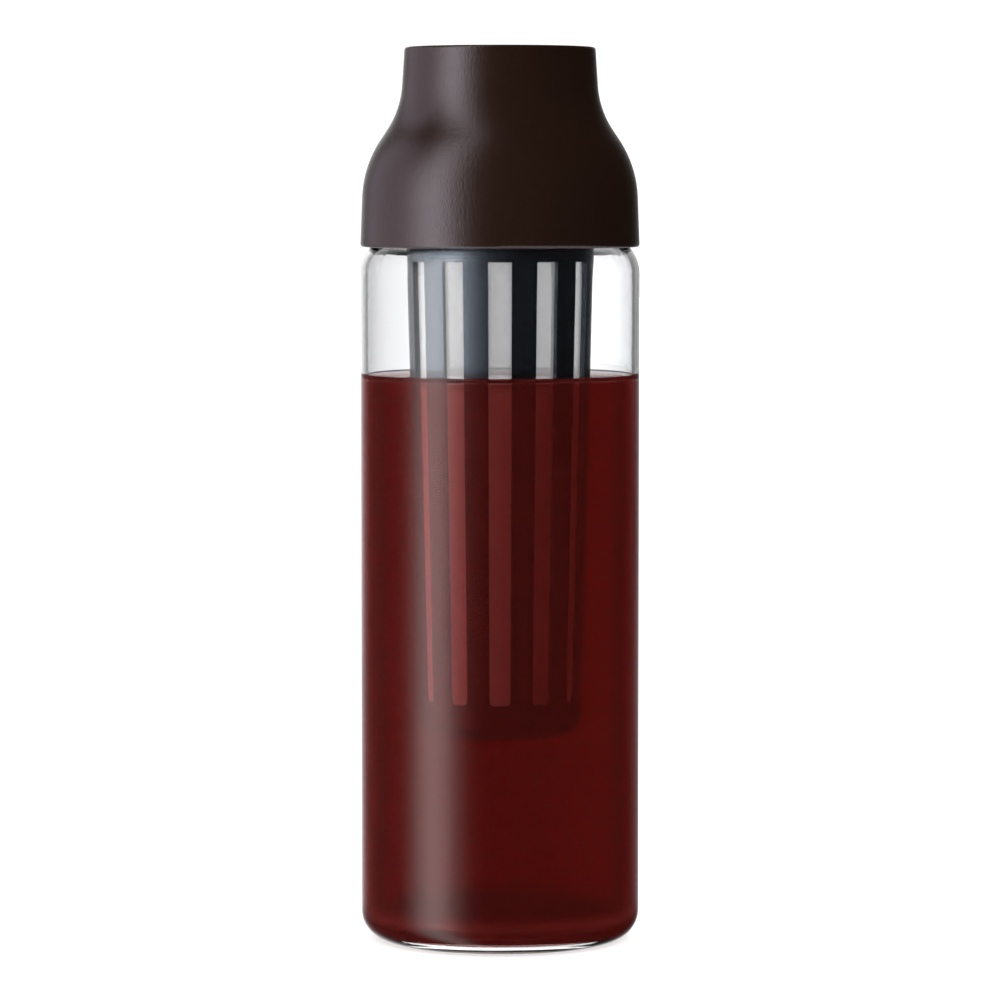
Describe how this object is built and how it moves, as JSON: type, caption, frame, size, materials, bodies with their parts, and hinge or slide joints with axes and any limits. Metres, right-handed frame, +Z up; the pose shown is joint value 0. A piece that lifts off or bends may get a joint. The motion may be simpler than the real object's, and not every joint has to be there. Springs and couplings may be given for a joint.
{
  "type": "cold brew coffee maker",
  "caption": "Slim glass carafe with a hanging cylindrical strainer and a bell-shaped lid whose weighted stopper lifts when tilted to pour.",
  "frame": {"origin": "on the table, under the middle of the carafe's foot ring", "axes": "+Z up along the axis of the carafe, strainer and lid; -Y is the front, where one strainer window faces; +X is to the right"},
  "size_m": [0.09, 0.09, 0.2881],
  "materials": {
    "glass": "clear polished borosilicate glass",
    "lid_plastic": "dark brown, fine matte grain",
    "black_plastic": "black, satin gloss",
    "filter_mesh": "light grey woven filter mesh",
    "silicone": "dark grey silicone, matte",
    "steel": "turned stainless steel"
  },
  "bodies": {
    "carafe": {"glass_carafe": "glass"},
    "strainer": {"strainer_frame": "black_plastic", "strainer_mesh": "filter_mesh", "rim_gasket": "silicone"},
    "lid": {"lid_shell": "lid_plastic", "pouring_bowl": "black_plastic", "lid_plug": "black_plastic", "plug_gasket": "silicone", "valve_guide": "black_plastic"},
    "stopper": {"stopper_seal": "silicone", "stopper_weight": "steel", "stopper_cap": "lid_plastic", "stopper_stem": "steel", "stem_clip": "steel"}
  },
  "joints": [
    {"name": "strainer_lift", "type": "slide", "parent": "carafe", "child": "strainer", "axis": [0, 0, 1], "range_m": [0, 0.2]},
    {"name": "lid_lift", "type": "slide", "parent": "strainer", "child": "lid", "axis": [0, 0, 1], "range_m": [0, 0.06]},
    {"name": "stopper_slide", "type": "slide", "parent": "lid", "child": "stopper", "axis": [0, 0, 1], "range_m": [0, 0.006]}
  ]
}
